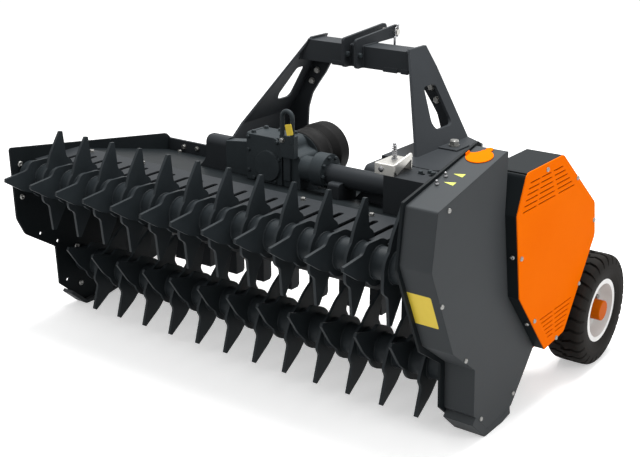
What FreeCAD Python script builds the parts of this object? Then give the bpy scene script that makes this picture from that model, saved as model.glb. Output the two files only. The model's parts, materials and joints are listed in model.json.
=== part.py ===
import FreeCAD, Part
import math
import os

# Tractor mulcher with two tined pick-up rotors, a hammer rotor and a three-point headstock.
# Frame: +X to the drive side, +Y back towards the tractor, +Z up, in millimetres.
# The origin is on the ground, below the middle of the machine.

os.makedirs("parts", exist_ok=True)
doc = FreeCAD.newDocument("TractorMulcher")
vec = FreeCAD.Vector

# Driving dimensions. Places along Y and Z are measured from the origin.
sizes = {
    "inner_width": 1935.0,        # between the side plates
    "side_plate": 10.0,
    "sheet": 6.0,
    "case_wall": 4.0,
    "shaft_gap": 0.06,            # running clearance, on the radius
    "seat_gap": 0.3,
    # pick-up rotors
    "tine_pitch": 75.0,
    "tine_margin": 100.0,         # least room beside the outermost rings
    "tine_thick": 12.0,
    "tine_reach": 205.0,
    "tine_tip": 15.0,
    "ring_radius": 82.0,
    "reel_tube": 57.0,
    "reel_shaft": 20.0,
    "upper_y": -541.0,
    "upper_z": 668.0,
    "lower_y": -276.0,
    "lower_z": 215.0,
    # hammer rotor
    "hammer_from_lower": 401.0,   # along Y, from the lower rotor
    "hammer_z": 335.0,
    "hammer_tube": 85.0,
    "hammer_reach": 190.0,
    "hammer_width": 60.0,
    "hammer_pitch": 155.0,
    "hammer_shaft": 30.0,
    "skirt_gap": 8.0,             # from the hammers' circle to the skirt
    # comb and hood
    "comb_top": 722.0,
    "comb_front": -500.0,
    "comb_back": -255.0,
    "slot_width": 23.0,
    "hood_lap": 55.0,
    "hood_back_z": 585.0,
    "bar_depth": 14.0,
    "bar_top": 641.0,
    "bar_height": 68.0,
    "skirt_top": 600.0,
    "skirt_bottom": 250.0,
    # drive cases on the right, outwards from the side plate
    "case_width": 117.5,
    "belt_gap": 20.5,
    "belt_width": 142.0,
    "cover_sheet": 4.0,
    "drive_box_left": 562.0,
    "drive_box_top": 840.0,
    # gearbox and its shafts
    "drive_z": 750.0,
    "cross_y": -25.0,
    "cross_radius": 42.5,
    "pto_rise": 8.0,              # above the cross shaft
    "pto_radius": 17.45,
    "pto_root": 14.8,
    "pto_tooth": 8.6,             # width of a spline tooth
    "box_left": -170.0,
    "box_right": 46.0,
    "box_front": -58.0,
    "box_back": 60.0,
    "box_top": 865.0,
    "input_back": 150.0,
    "input_radius": 106.0,
    "horn_end": 222.0,            # where the gearbox meets the cross tube
    "shield_radius": 119.0,
    "shield_length": 105.0,
    # headstock
    "rail_in": 346.0,
    "rail_width": 112.0,
    "rail_height": 156.0,
    "left_rail_front": 8.0,
    "rail_back": 597.0,
    "rail_wall": 6.0,
    "leg_plate": 12.0,
    "leg_lean": 0.58,             # outwards per unit down
    "beam_height": 91.0,
    "beam_under_pin": 27.0,       # from the top link pin down to the beam
    "beam_left": 246.0,
    "beam_right": 258.0,
    "beam_front": 462.0,
    "beam_depth": 110.0,
    "clevis_plate": 12.0,
    "clevis_gap": 52.0,
    "top_pin_y": 717.0,
    "top_pin_radius": 12.7,
    "low_pin_y": 692.0,
    "low_pin_z": 580.0,
    "mast_height": 610.0,
    "hitch_drop": 60.0,           # from the rails down to the lower pins
    "low_bore": 14.5,
    "hitch_spread": 825.0,
    "hitch_gap": 55.0,
    "hitch_plate": 10.0,
    # wheels
    "wheel_y": 505.0,
    "wheel_radius": 226.0,
    "wheel_gap": 122.0,           # from the side plate to the middle of the tyre
    "tyre_width": 157.0,
    "bead_radius": 114.3,
    "rim_lip": 130.0,
    "rim_width": 134.0,
    "hub_radius": 40.5,
    "axle_radius": 20.0,
    "arm_thick": 32.0,
}

sheet = doc.addObject("Spreadsheet::Sheet", "Sizes")
for row, (alias, value) in enumerate(sizes.items(), 1):
    sheet.set(f"A{row}", alias)
    sheet.set(f"B{row}", str(value))
    sheet.setAlias(f"B{row}", alias)
doc.recompute()


def size(alias):
    return sheet.get(alias)


# --- outlines -------------------------------------------------------------------------------


def rounded(points):
    """Edges of a closed outline. A corner (u, v, r) is rounded with radius r."""
    flat = [vec(p[0], p[1], 0) for p in points]
    starts, ends, edges = [], [], []
    for i, point in enumerate(points):
        here, before, after = flat[i], flat[i - 1], flat[(i + 1) % len(flat)]
        radius = point[2] if len(point) > 2 else 0
        if not radius:
            starts.append(here)
            ends.append(here)
            continue
        to_before = (before - here).normalize()
        to_after = (after - here).normalize()
        half = to_before.getAngle(to_after) / 2
        reach = radius / math.tan(half)
        middle = here + (to_before + to_after).normalize() * (radius / math.sin(half))
        first, last = here + to_before * reach, here + to_after * reach
        nearest = middle + (here - middle).normalize() * radius
        starts.append(first)
        ends.append(last)
        edges.append(Part.Arc(first, nearest, last))
    for i, end in enumerate(ends):
        start = starts[(i + 1) % len(starts)]
        if end.distanceToPoint(start) > 1e-6:
            edges.append(Part.LineSegment(end, start))
    return edges


def shifted(points, depth, closed=True):
    """The outline moved to its left by depth, corner by corner."""
    flat = [vec(p[0], p[1], 0) for p in points]
    moved = []
    for i, here in enumerate(flat):
        before = flat[i - 1] if closed or i else None
        after = flat[(i + 1) % len(flat)] if closed or i < len(flat) - 1 else None
        sides = [b - a for a, b in ((before, here), (here, after)) if a and b]
        normals = [vec(-s.y, s.x, 0).normalize() for s in sides]
        way = sum(normals, vec()).normalize()
        step = way * (depth / way.dot(normals[0]))
        moved.append((here.x + step.x, here.y + step.y) + tuple(points[i][2:]))
    return moved


def strip(path, depth):
    """Closed outline of a bent sheet: the path, and the path moved to its left by depth."""
    return list(path) + shifted(path, depth, closed=False)[::-1]


def circle(u, v, radius):
    return [Part.Circle(vec(u, v, 0), vec(0, 0, 1), radius)]


def slot(u, v, length, radius, turn=0.0):
    """A round-ended slot about (u, v), its length lying along the direction turn."""
    along = vec(math.cos(math.radians(turn)), math.sin(math.radians(turn)), 0)
    across = vec(-along.y, along.x, 0)
    middle = vec(u, v, 0)
    reach = along * (length / 2 - radius)
    a, b = middle - reach + across * radius, middle - reach - across * radius
    c, d = middle + reach - across * radius, middle + reach + across * radius
    return [
        Part.Arc(a, middle - reach - along * radius, b),
        Part.LineSegment(b, c),
        Part.Arc(c, middle + reach + along * radius, d),
        Part.LineSegment(d, a),
    ]


# --- features -------------------------------------------------------------------------------


def add_body(label):
    body = doc.addObject("PartDesign::Body", label)
    body.Label = label
    return body


def add_sketch(body, plane, loops, level):
    """A sketch on the body's own plane (XY, XZ or YZ), level away from it."""
    support = next(f for f in body.Origin.OriginFeatures if f.Role == plane + "_Plane")
    sketch = body.newObject("Sketcher::SketchObject", body.Label + "_outline")
    sketch.AttachmentSupport = (support, "")
    sketch.MapMode = "FlatFace"
    side = -1 if plane == "XZ" else 1
    sketch.AttachmentOffset = FreeCAD.Placement(vec(0, 0, side * level), FreeCAD.Rotation())
    for loop in loops:
        sketch.addGeometry(loop, False)
    return sketch


def pad(body, plane, loops, level, depth):
    """Adds the outlines, from level onwards along the plane's axis; depth is an expression."""
    feature = body.newObject("PartDesign::Pad", body.Label + "_pad")
    feature.Profile = add_sketch(body, plane, loops, level)
    feature.setExpression("Length", str(depth))
    feature.Reversed = plane == "XZ"
    body.Tip = feature
    return feature


def pocket(body, plane, loops, level=None, depth=None):
    """Cuts the outlines from level onwards, or right through with no level."""
    feature = body.newObject("PartDesign::Pocket", body.Label + "_pocket")
    feature.Profile = add_sketch(body, plane, loops, level or 0.0)
    if level is None:
        feature.Type = "ThroughAll"
        feature.Midplane = True
    else:
        feature.setExpression("Length", str(depth))
        feature.Reversed = plane != "XZ"
    body.Tip = feature
    return feature


def revolve(body, outline):
    """Turns an outline of (x, radius) points about the body's X axis."""
    feature = body.newObject("PartDesign::Revolution", body.Label + "_turned")
    feature.Profile = add_sketch(body, "XY", [rounded(outline)], 0.0)
    feature.ReferenceAxis = (feature.Profile[0], ["H_Axis"])
    feature.Angle = 360.0
    body.Tip = feature
    return feature


def repeat_along_x(body, originals, pitch, count):
    feature = body.newObject("PartDesign::LinearPattern", body.Label + "_row")
    feature.Originals = originals
    feature.Direction = (next(f for f in body.Origin.OriginFeatures if f.Role == "X_Axis"), [""])
    feature.Length = pitch * (count - 1)
    feature.Occurrences = count
    body.Tip = feature
    return feature


def rod(name, radius, start, length, axis="X"):
    """A Part::Cylinder from start along an axis; radius and length are expressions."""
    turns = {"X": (vec(0, 1, 0), 90), "Y": (vec(1, 0, 0), -90), "Z": (vec(0, 0, 1), 0)}
    cylinder = doc.addObject("Part::Cylinder", name)
    cylinder.setExpression("Radius", str(radius))
    cylinder.setExpression("Height", str(length))
    cylinder.Placement = FreeCAD.Placement(vec(*start), FreeCAD.Rotation(*turns[axis]))
    return cylinder


def fuse(label, pieces):
    joined = doc.addObject("Part::MultiFuse", label)
    joined.Shapes = pieces
    joined.Label = label
    return joined


nodes = []


def keep(node):
    nodes.append(node)
    return node


# --- shared places --------------------------------------------------------------------------

half_in = size("inner_width") / 2
half_out = half_in + size("side_plate")
case_out = half_out + size("case_width")
belt_in = half_out + size("belt_gap")
belt_out = belt_in + size("belt_width")
wheel_mid = half_out + size("wheel_gap")
wheel_z = size("wheel_radius")

upper = (size("upper_y"), size("upper_z"))
lower = (size("lower_y"), size("lower_z"))
hammer = (size("lower_y") + size("hammer_from_lower"), size("hammer_z"))
reel_bore = size("reel_shaft") + size("shaft_gap")
hammer_bore = size("hammer_shaft") + size("shaft_gap")
tine_planes = int((size("inner_width") - 2 * size("tine_margin")) / size("tine_pitch")) + 1
first_tine = -size("tine_pitch") * (tine_planes - 1) / 2

skirt_y = hammer[0] + size("hammer_reach") + size("skirt_gap")
hood_back = skirt_y - size("bar_depth")
hood_start = size("comb_back") - size("hood_lap")
comb_under = size("comb_top") - size("sheet")

pto_z = size("drive_z") + size("pto_rise")
past_tube = size("cross_y") + size("cross_radius") + 5

rail_out = size("rail_in") + size("rail_width")
rail_bottom = size("low_pin_z") + size("hitch_drop")
rail_top = rail_bottom + size("rail_height")
top_pin_z = size("low_pin_z") + size("mast_height")
beam_top = top_pin_z - size("beam_under_pin")
beam_under = beam_top - size("beam_height")
leg_top = beam_top + 9
left_bend = beam_top - (rail_out - size("beam_left")) / size("leg_lean")


def hood_top(y):
    """Height of the hood's sloping top at y."""
    slope = (size("hood_back_z") - comb_under) / (hood_back - size("comb_back"))
    return comb_under + slope * (y - size("comb_back"))


# Where the chain case and the belt box meet, from the bottom up.
meeting = [(54, 219), (-180, 498), (-236, 812)]
# Undersides that the skids follow, from the front back.
plate_foot = [(-418, 130), (-290, 15), (-170, 15), (110, 62)]
case_foot = [(-388, 121), (-290, 30), (-170, 30), (-103, 42)]

case_top = [(-680, 938), (-236, 1036)]
case_tilt = math.atan2(case_top[1][1] - case_top[0][1], case_top[1][0] - case_top[0][0])


def case_top_z(y):
    return case_top[0][1] + (y - case_top[0][0]) * math.tan(case_tilt)


lid_pivot = (half_out + 58.5, -256, case_top_z(-256) + size("seat_gap"))


def part_way(a, b, share):
    return (a[0] + (b[0] - a[0]) * share, a[1] + (b[1] - a[1]) * share)


def skid_outline(foot, share, depth):
    """A skid that follows an underside, depth thick, up to a share of its end slopes."""
    front, back = part_way(foot[1], foot[0], share), part_way(foot[2], foot[3], share)
    path = [front, foot[1], foot[2], back]
    under = shifted(path, -depth, closed=False)
    return rounded(path + [under[3], (*under[2], depth), (*under[1], depth), under[0]])


# --- housing --------------------------------------------------------------------------------


def shaft_holes():
    return [circle(*upper, reel_bore), circle(*lower, reel_bore), circle(*hammer, hammer_bore)]


def add_side_plates():
    rear_foot = plate_foot[1:3] + [(*plate_foot[3], 60), (300, 105, 60), (375, 200, 40), (375, 500, 60)]
    left = add_body("left_side_plate")
    outline = [(-624, 795, 12), (-618, 486, 60), (-580, 407, 40), (-424, 306, 12), (*plate_foot[0], 8)]
    outline += rear_foot + [(323, 640, 20), (297, 666, 20)]
    small = [circle(-500, 389, 8), circle(-410, 329, 8), circle(-372, 135, 8)]
    pad(left, "YZ", [rounded(outline)] + shaft_holes() + small, -half_out, "Sizes.side_plate")
    keep(left)
    right = add_body("right_side_plate")
    outline = [(-690, 950, 8), (-717, 735, 20), (-562, 396, 20), (-424, 302, 12), (*plate_foot[0], 8)]
    outline += rear_foot
    outline += [(323, 640, 20), (297, 650, 20), (-206, 722), (-206, 1029, 8), (-224, 1046, 8)]
    pad(right, "YZ", [rounded(outline)] + shaft_holes(), half_in, "Sizes.side_plate")
    keep(right)


def add_comb():
    body = add_body("comb_plate")
    front, back = size("comb_front"), size("comb_back")
    pad(body, "XY", [rounded([(-half_in, front), (half_in, front), (half_in, back), (-half_in, back)])],
        comb_under, "Sizes.sheet")
    end = size("slot_width") / 2
    rise = size("comb_top") - upper[1]
    sweep = math.sqrt((size("tine_reach") + 2 * end) ** 2 - rise ** 2)
    last = upper[0] + sweep
    left, right = first_tine - end, first_tine + end
    wide = [(left, front - end), (right, front - end), (right, last, end * 0.999), (left, last, end * 0.999)]
    gap = pocket(body, "XY", [rounded(wide)], comb_under, "Sizes.sheet")
    repeat_along_x(body, [gap], size("tine_pitch"), tine_planes)
    keep(body)


def add_hood():
    hood = add_body("hood_shell")
    path = [(hood_start, comb_under), (size("comb_back"), comb_under),
            (hood_back, size("hood_back_z"))]
    pad(hood, "YZ", [rounded(strip(path[::-1], size("sheet")))], -half_in, "Sizes.inner_width")
    keep(hood)
    bar = add_body("rear_bar")
    front, top = hood_back, size("bar_top")
    outline = [(front, top - size("bar_height")), (skirt_y, top - size("bar_height")), (skirt_y, top), (front, top)]
    pad(bar, "YZ", [rounded(outline)], -half_in, "Sizes.inner_width")
    slit = [(front - 1, top - 40), (skirt_y + 1, top - 40), (skirt_y + 1, top + 1), (front - 1, top + 1)]
    for x in (-865, 859):
        pocket(bar, "YZ", [rounded(slit)], x, "6")
    keep(bar)
    skirt = add_body("rear_skirt")
    outline = [(skirt_y, size("skirt_bottom")), (skirt_y + size("sheet"), size("skirt_bottom")),
               (skirt_y + size("sheet"), size("skirt_top")), (skirt_y, size("skirt_top"))]
    pad(skirt, "YZ", [rounded(outline)], -half_in, "Sizes.inner_width")
    keep(skirt)


# --- drive cases ----------------------------------------------------------------------------


def fan_of_slots(top, first, last, rows=6, pitch=19, radius=2.2):
    """Rows of level slots. Each column's two ends move from first to last on the way down."""
    slots = []
    for row in range(rows):
        for ends in zip(first, last):
            start, end = part_way(*ends, row / (rows - 1))
            slots.append(slot((start + end) / 2, top - pitch * row, end - start, radius))
    return slots


def add_drive_cases():
    case = add_body("chain_case")
    outline = [(*case_top[0], 10), (-706, 748, 20), (-552, 417, 20), (-396, 299, 12)] + case_foot
    outline += meeting + [(*case_top[1], 8)]
    pad(case, "YZ", [rounded(outline)], half_out, "Sizes.case_width")
    inside = shifted([p[:2] for p in outline], size("case_wall"))
    pocket(case, "YZ", [rounded(inside)], half_out, "Sizes.case_width - Sizes.case_wall")
    pocket(case, "XY", [circle(lid_pivot[0] - 7, lid_pivot[1] - 56, 26)], case_top_z(-340) - 12, "60")
    keep(case)

    box = add_body("belt_box")
    outline = [(216, 234, 30), (442, 559, 30), (416, 697, 30), (105, 951, 20), (-178, 950, 30)]
    outline = meeting[:1] + outline + meeting[:0:-1]
    pad(box, "YZ", [rounded(outline)], belt_in, "Sizes.belt_width - Sizes.cover_sheet")
    inside = shifted([p[:2] for p in outline], size("case_wall"))
    floor = belt_in + size("case_wall")
    pocket(box, "YZ", [rounded(inside)], floor, "Sizes.belt_width")
    pocket(box, "YZ", [circle(size("cross_y"), size("drive_z"), size("cross_radius") + size("seat_gap"))],
           belt_in, "Sizes.case_wall")
    pocket(box, "YZ", [circle(*hammer, hammer_bore)], belt_in, "Sizes.case_wall")
    keep(box)

    cover = add_body("belt_cover")
    level = belt_out - size("cover_sheet")
    pad(cover, "YZ", [rounded(outline)], level, "Sizes.cover_sheet")
    louvres = fan_of_slots(910, [(-151, -76), (-65, 9), (28, 104)], [(-194, -92), (-78, 57), (80, 212)])
    louvres += fan_of_slots(357, [(-3, 102), (116, 262)], [(70, 117), (136, 206)])
    pocket(cover, "YZ", louvres)
    keep(cover)

    ring = add_body("drive_bearing")
    pad(ring, "YZ", [circle(*hammer, 100), circle(*hammer, hammer_bore)], half_out, "Sizes.belt_gap")
    keep(ring)

    head = add_body("drive_box")
    front, back, left, top = -167, -12, size("drive_box_left"), size("drive_box_top")
    outline = [(front, hood_top(front)), (back, hood_top(back)), (back, top), (front, top)]
    pad(head, "YZ", [rounded(outline)], left, "Sizes.inner_width / 2 - Sizes.drive_box_left")
    inside = [(front + 8, hood_top(front) - 20), (back + 1, hood_top(back) - 20), (back + 1, top - 8),
              (front + 8, top - 8)]
    pocket(head, "YZ", [rounded(inside)], left + 8, "Sizes.inner_width / 2")
    pocket(head, "YZ", [circle(size("cross_y"), size("drive_z"), size("cross_radius") + size("seat_gap"))],
           left - 1, "12")
    pocket(head, "XY", [circle(672, -73, 9), circle(707, -73, 9)], top - 10, "12")
    keep(head)


# --- rotors ---------------------------------------------------------------------------------


def tine_outline(turn):
    """A ring with two opposite sickle tines; turn is the angle of the first above +Y."""
    ring, reach, tip = size("ring_radius"), size("tine_reach"), size("tine_tip")
    back = math.radians(77.3)
    front = math.radians(-46.0)
    half = (math.pi - back + front) / 2
    heel = ring / math.cos(half)
    one = [(ring * math.cos(back), ring * math.sin(back)), (82, 72, 30), (100, 38, 25),
           (reach, tip * 0.7), (reach, -tip * 0.3), (110, -48, 150),
           (ring * math.cos(front), ring * math.sin(front)),
           (heel * math.cos(front - half), heel * math.sin(front - half), ring * 0.9999)]
    points = []
    for flip in (0, 180):
        angle = math.radians(turn + flip)
        for r, t, *corner in one:
            y = r * math.cos(angle) + t * math.sin(angle)
            z = r * math.sin(angle) - t * math.cos(angle)
            points.append((y, z, *corner))
    return points


def add_reel(label, place, turns):
    """A tined rotor: a tube on stub shafts, and rings whose tines stand crosswise in turn."""
    body = add_body(label)
    drum = half_in - 12
    shaft = half_out + 16
    revolve(body, [(-shaft, 0), (-shaft, size("reel_shaft")), (-drum, size("reel_shaft")),
                   (-drum, size("reel_tube")), (drum, size("reel_tube")), (drum, size("reel_shaft")),
                   (shaft, size("reel_shaft")), (shaft, 0)])
    pitch = size("tine_pitch")
    for i, turn in enumerate(turns):
        start = first_tine - size("tine_thick") / 2 + pitch * i
        plate = pad(body, "YZ", [rounded(tine_outline(turn))], start, "Sizes.tine_thick")
        repeat_along_x(body, [plate], 2 * pitch, (tine_planes + 1 - i) // 2)
    body.Placement = FreeCAD.Placement(vec(0, *place), FreeCAD.Rotation())
    keep(body)


def add_hammer_rotor():
    body = add_body("hammer_rotor")
    drum = half_in - 12
    shaft = belt_in + 60
    left = half_out + 20
    radius, core = size("hammer_shaft"), size("hammer_tube")
    revolve(body, [(-left, 0), (-left, radius), (-drum, radius), (-drum, core), (drum, core),
                   (drum, radius), (shaft, radius), (shaft, 0)])
    reach, pitch = size("hammer_reach"), size("hammer_pitch")
    count = int((2 * drum - 120) // pitch)
    for i, way in enumerate((1, -1)):
        first = -pitch * (count - 0.5) / 2 + pitch / 2 * i - size("hammer_width") / 4
        face = math.sqrt(reach ** 2 - 28 ** 2)
        outline = [(-28, way * (core - 8)), (28, way * (core - 8)), (28, way * (face - 12)),
                   (18, way * face), (-28, way * face)]
        block = pad(body, "YZ", [rounded(outline)], first, "Sizes.hammer_width")
        repeat_along_x(body, [block], pitch, count)
    body.Placement = FreeCAD.Placement(vec(0, *hammer), FreeCAD.Rotation())
    keep(body)


def add_left_bearings():
    body = add_body("left_bearings")
    loops = [circle(*upper, 62), circle(*upper, reel_bore), circle(*lower, 62), circle(*lower, reel_bore),
             circle(*hammer, 80), circle(*hammer, hammer_bore)]
    pad(body, "YZ", loops, -half_out - 24, "24")
    keep(body)


# --- gearbox and shafts ---------------------------------------------------------------------


def hood_cut(first, last):
    """What lies under the hood's slope between two places along Y, with a little to spare."""
    return rounded([(first, hood_top(last) - 60), (last, hood_top(last) - 60), (last, hood_top(last)),
                    (first, hood_top(first))])


def spline_outline(teeth=6):
    """End view of the splined shaft end, about (0, pto_z)."""
    half, points = size("pto_tooth") / 2, []
    for i in range(teeth):
        angle = 2 * math.pi * i / teeth
        for radius, side in ((size("pto_root"), -1), (size("pto_radius"), -1), (size("pto_radius"), 1),
                             (size("pto_root"), 1)):
            turn = angle + side * math.asin(half / radius)
            points.append((radius * math.cos(turn), pto_z + radius * math.sin(turn)))
    return points


def add_gearbox():
    front, back, top = size("box_front"), size("box_back"), size("box_top")
    left, right, end = size("box_left"), size("box_right"), size("input_back")
    y, z = size("cross_y"), size("drive_z")
    foot = hood_top(end) - 10
    shoulder = right + 52
    body = add_body("gearbox")
    pad(body, "XZ", [rounded([(left, foot), (shoulder, foot), (shoulder, z + 55, 20), (right, z + 70, 15),
                              (right, top, 44), (left, top, 8)])], front, "Sizes.box_back - Sizes.box_front")
    pad(body, "XZ", [circle(0, pto_z, size("input_radius"))], back, "Sizes.input_back - Sizes.box_back")
    pocket(body, "YZ", [hood_cut(front - 1, end + 1)])
    pad(body, "YZ", [circle(y, z + 5, 50)], shoulder, f"{size('horn_end') - shoulder - 57}")
    pad(body, "YZ", [circle(y, z + 12, 68)], size("horn_end") - 57, "57")
    keep(body)

    cover = add_body("gearbox_cover")
    sole = hood_top(front - 10) + 1
    pad(cover, "XZ", [rounded([(left + 2, sole), (12, sole), (12, top + 1, 48), (left + 2, top + 1, 8)])],
        front - 10, "10")
    pad(cover, "XZ", [circle(-55, 748, 62)], front - 22, "12")
    keep(cover)

    mount = add_body("gearbox_left_mount")
    near, far, flange = size("left_rail_front"), back, 12
    pad(mount, "XZ", [rounded([(-size("rail_in"), foot), (left, foot), (left, 811), (-size("rail_in"), 789)])],
        near, f"{far - near}")
    pad(mount, "YZ", [rounded([(front + 8, foot), (back, foot), (back, top, 10), (front + 8, top, 10)])],
        left - flange, f"{flange}")
    pocket(mount, "YZ", [hood_cut(front, back + 1)])
    keep(mount)

    tube = rod("tube_round", "Sizes.cross_radius", (size("horn_end"), y, z),
               f"{belt_in + size('case_wall') - size('horn_end')}")
    saddle = add_body("tube_saddle")
    pad(saddle, "YZ", [rounded([(-100, hood_top(-100)), (20, hood_top(20)), (20, z - 10), (-100, z - 10, 12)])],
        262, "53")
    keep(fuse("cross_shaft_tube", [tube, saddle]))

    shield = add_body("pto_shield")
    radius, wall, length = size("shield_radius"), 4, size("shield_length")
    bore = size("pto_radius") + 20
    small, wide_from = radius - 34, 45
    profile = [(0, bore), (0, small, 12), (wide_from, radius, 10), (length, radius - 2),
               (length, radius - 2 - wall), (wide_from, radius - wall, 6), (wall, small - wall, 8), (wall, bore)]
    revolve(shield, profile)
    shield.Placement = FreeCAD.Placement(vec(0, end, pto_z), FreeCAD.Rotation(vec(0, 0, 1), 90))
    keep(shield)

    shaft = add_body("pto_shaft")
    collar = 14
    pad(shaft, "XZ", [circle(0, pto_z, size("pto_radius"))], end + size("seat_gap"), f"{collar}")
    pad(shaft, "XZ", [rounded(spline_outline())], end + size("seat_gap") + collar, "76")
    keep(shaft)

    eye = doc.addObject("Part::Torus", "eye_bow")
    eye.Radius1 = 25
    eye.Radius2 = 9
    eye.Angle3 = 180
    eye.Placement = FreeCAD.Placement(vec(52, -80, 964), FreeCAD.Rotation(vec(1, 0, 0), 90))
    legs = [rod("eye_leg_left", "9", (27, -80, 862), "102", "Z"),
            rod("eye_leg_right", "9", (77, -80, 862), "102", "Z")]
    plate = doc.addObject("Part::Box", "eye_plate")
    plate.Length, plate.Width, plate.Height = 70, 28, 90
    plate.Placement.Base = vec(17, front - 28, 800)
    bar = doc.addObject("Part::Box", "eye_bar")
    bar.Length, bar.Width, bar.Height = 32, 12, 127
    bar.Placement.Base = vec(23, front - 12, 700)
    keep(fuse("lifting_eye", [eye] + legs + [plate, bar]))


# --- headstock ------------------------------------------------------------------------------


def mirrored(points, side):
    """An outline in X and Z, on the left for side -1."""
    return [(side * p[0], *p[1:]) for p in points]


def leg_inner(z, side):
    """How far out the inner face of the leg on one side is at height z."""
    start = size("beam_left") if side < 0 else size("beam_right")
    return start + size("leg_lean") * (beam_top - z)


def add_rail(label, side):
    body = add_body(label)
    front, back = size("left_rail_front") if side < 0 else past_tube, size("rail_back")
    top, bottom = rail_top, rail_bottom
    low = size("hood_back_z") - 10
    outline = [(front, low), (skirt_y, low), (skirt_y, bottom), (back, bottom)]
    if side < 0:
        low_top = top - 96
        outline += [(back, low_top), (98, low_top, 12), (74, top, 20), (front, top, 32)]
        top = low_top
    else:
        outline += [(back, top), (front, top, 32)]
    start = size("rail_in") if side > 0 else -size("rail_in") - size("rail_width")
    end = start + size("rail_width")
    pad(body, "YZ", [rounded(outline)], start, "Sizes.rail_width")
    flare = 0 if side < 0 else 43
    foot = [(start - 43, low), (end + flare, low), (end + flare, 651), (end + flare / 4, 686), (end, 704),
            (start, 704), (start - 11, 686), (start - 43, 651)]
    pad(body, "XZ", [rounded(foot)], front, "90")
    under = [(front - 1, low - 1), (skirt_y + 1, low - 1), (skirt_y + 1, size("bar_top")),
             (hood_back, size("bar_top")), (hood_back, size("hood_back_z")),
             (front - 1, hood_top(front - 1))]
    pocket(body, "YZ", [rounded(under)])
    wall = size("rail_wall")
    inside = [(start + wall, bottom + wall), (end - wall, bottom + wall), (end - wall, top - wall),
              (start + wall, top - wall)]
    pocket(body, "XZ", [rounded(inside)], skirt_y + 20, f"{back - skirt_y}")
    keep(body)


def leg_height(share):
    """Height at a share of the way up the legs."""
    return rail_top + share * (leg_top - rail_top)


def leg_sheet(side):
    """The leg's bent plate seen from behind, and its front edge seen from the side."""
    thick = size("leg_plate")
    wide = thick * math.hypot(1, size("leg_lean"))
    upper_end = [(leg_inner(leg_top, side) + wide, leg_top), (leg_inner(leg_top, side), leg_top)]
    if side > 0:
        profile = [(leg_inner(rail_top, side), rail_top), (leg_inner(rail_top, side) + wide, rail_top)]
        return profile + upper_end, [(205, rail_top), (205, rail_top + thick), (472, leg_top)]
    outer_bend = left_bend + (wide - thick) / size("leg_lean")
    foot = rail_bottom + 20
    profile = [(rail_out, foot), (rail_out + thick, foot), (rail_out + thick, outer_bend)]
    edge = [(130, foot - 10), (130, rail_top - 96), (191, rail_top - 49), (262, rail_top + 7), (483, leg_top)]
    return profile + upper_end + [(rail_out, left_bend)], edge


def add_leg(label, side):
    """A plate leaning in to the beam. The right one has a foot, the left one goes down beside its rail."""
    body = add_body(label)
    thick, back = size("leg_plate"), size("rail_back") + size("leg_plate")
    profile, edge = leg_sheet(side)
    front, low = edge[0]
    clear = 20
    pad(body, "XZ", [rounded(mirrored(profile, side))], front, f"{back - front}")
    away = [(front - clear, low)] + edge + [(edge[-1][0], leg_top + clear), (front - clear, leg_top + clear)]
    rear = [(back + clear, beam_under + 13), (back, beam_under + 13), (back - 11, leg_top),
            (back - 11, leg_top + clear), (back + clear, leg_top + clear)]
    if side > 0:
        top, low = leg_height(0.6223), leg_height(0.1968)
        window = [(452, top, 18), (540, top, 18), (540, low, 25), (385, low, 32)]
    else:
        top, low = leg_height(0.6117), leg_height(0.2101)
        window = [(480, top, 18), (546, top, 18), (546, low, 25), (421, low, 32)]
    pocket(body, "YZ", [rounded(away), rounded(rear), rounded(window)])
    if side > 0:
        inner = leg_inner(rail_top + thick, side)
        sole = [(size("rail_in"), 150), (inner, 150), (534, 90, 20), (640, 90, 20), (640, 400, 20),
                (585, 545, 30), (inner + thick, back), (size("rail_in"), back)]
        pad(body, "XY", [rounded(sole)], rail_top, "Sizes.leg_plate")
    sunk = 3
    if side > 0:
        foot = rail_top - 39
        meets_leg = [(rail_out, foot), (leg_inner(rail_top + 2, side) + sunk, rail_top + 2)]
    else:
        foot = rail_top - 110
        meets_leg = [(rail_out + sunk, foot), (rail_out + sunk, left_bend)]
    web = [(212, beam_under), (233, leg_height(0.6356)), (256, leg_height(0.5293)), (299, leg_height(0.375)),
           (332, leg_height(0.2447), 60), (353, leg_height(0.0691), 60), (361, foot)]
    web += meets_leg + [(leg_inner(beam_under, side) + sunk, beam_under)]
    pad(body, "XZ", [rounded(mirrored(web, side))], size("rail_back"), "Sizes.leg_plate")
    keep(body)


def add_headstock():
    beam = add_body("headstock_beam")
    outline = [(-leg_inner(beam_under, -1), beam_under), (leg_inner(beam_under, 1), beam_under),
               (size("beam_right"), beam_top), (-size("beam_left"), beam_top)]
    pad(beam, "XZ", [rounded(outline)], size("beam_front"), "Sizes.beam_depth")
    wall = 8
    start, depth = size("beam_front"), size("beam_depth")
    inside = [(start + wall, beam_under + wall), (start + depth - wall, beam_under + wall),
              (start + depth - wall, beam_top - wall), (start + wall, beam_top - wall)]
    pocket(beam, "YZ", [rounded(inside)])
    keep(beam)

    clevis = add_body("top_link_clevis")
    y, z = size("top_pin_y"), top_pin_z
    back = start + depth
    outline = [(start - 50, beam_under, 18), (start - 50, beam_top + 34, 14), (y + 23, z + 32, 20),
               (y + 31, z - 24, 22), (back, beam_top), (start, beam_top), (start, beam_under)]
    hole = circle(y, z, size("top_pin_radius") + size("shaft_gap"))
    for x in (-size("clevis_gap") / 2 - size("clevis_plate"), size("clevis_gap") / 2):
        pad(clevis, "YZ", [rounded(outline), hole], x, "Sizes.clevis_plate")
    keep(clevis)
    reach = size("clevis_gap") / 2 + size("clevis_plate") + 14
    pin = rod("pin_round", "Sizes.top_pin_radius", (-reach, y, z), f"{2 * reach}")
    head = rod("pin_head", "Sizes.top_pin_radius + 5", (-reach - 6, y, z), "8")
    keep(fuse("top_link_pin", [pin, head]))


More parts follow.
